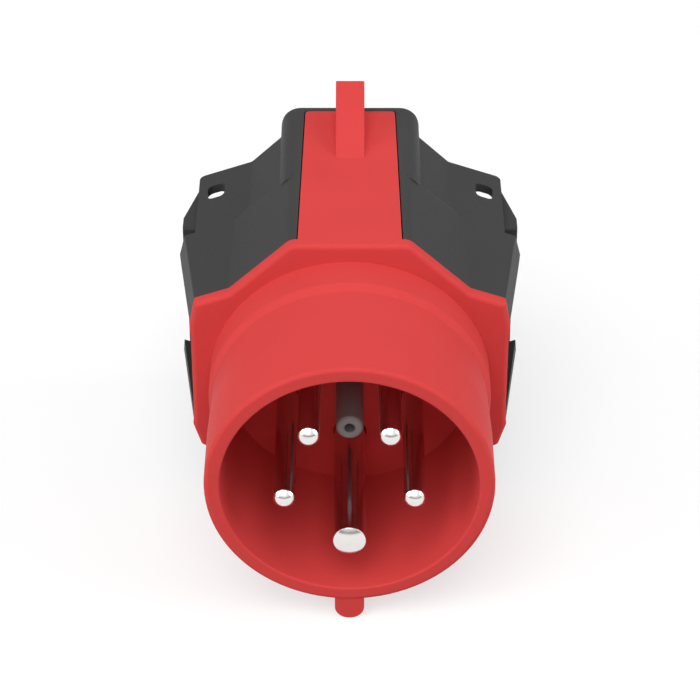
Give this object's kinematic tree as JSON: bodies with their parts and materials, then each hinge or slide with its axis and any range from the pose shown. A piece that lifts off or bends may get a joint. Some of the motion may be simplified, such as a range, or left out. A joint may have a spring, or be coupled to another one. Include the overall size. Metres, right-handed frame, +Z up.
{
  "type": "industrial plug adapter",
  "caption": "Industrial plug adapter: keyed round pin shroud and locking nose at the front, touch-safe contact mouth with sprung side latches at the rear.",
  "frame": {"origin": "centre of the shroud mouth, on the plug axis", "axes": "+Y along the plug axis from the mouth to the rear, +Z up towards the locking nose at 12 o'clock, +X to the right as seen from the front"},
  "size_m": [0.0708, 0.0904, 0.0721],
  "materials": {
    "red_plastic": "satin moulded polyamide",
    "black_plastic": "fine-grained moulded polyamide",
    "insulator": "smooth moulded insulating plastic",
    "grey_plastic": "satin moulded plastic",
    "nickel_plated": "bright nickel plate on brass",
    "brass": "turned brass",
    "rubber": "matt sealing rubber",
    "steel": "zinc-plated steel"
  },
  "bodies": {
    "plug_body": {"front_shell": "red_plastic", "rear_housing": "black_plastic", "pin_seal": "rubber", "rear_face_seal": "rubber", "front_contact_carrier": "insulator", "rear_contact_block": "insulator", "centre_sleeve": "grey_plastic", "contact_washers": "steel", "housing_screws": "steel", "left_pivot_pin": "steel", "right_pivot_pin": "steel", "left_latch_spring": "steel", "right_latch_spring": "steel", "earth_pin": "nickel_plated", "rear_socket_pe": "brass", "phase_pin_l1": "nickel_plated", "rear_socket_l1": "brass", "phase_pin_l2": "nickel_plated", "rear_socket_l2": "brass", "phase_pin_l3": "nickel_plated", "rear_socket_l3": "brass", "neutral_pin": "nickel_plated", "rear_socket_n": "brass"},
    "right_latch": {"right_latch": "black_plastic"},
    "left_latch": {"left_latch": "black_plastic"}
  },
  "joints": [
    {"name": "right_latch_press", "type": "hinge", "parent": "plug_body", "child": "right_latch", "pos_m": [0.0298, 0.044, 0], "axis": [0, 0, 1], "range_deg": [0, 6], "stiffness_Nm_per_rad": 0.55, "springref_deg": -2.86, "deforming": ["right_latch_spring"]},
    {"name": "left_latch_press", "type": "hinge", "parent": "plug_body", "child": "left_latch", "pos_m": [-0.0298, 0.044, 0], "axis": [0, 0, -1], "range_deg": [0, 6], "stiffness_Nm_per_rad": 0.55, "springref_deg": -2.86, "deforming": ["left_latch_spring"]}
  ]
}
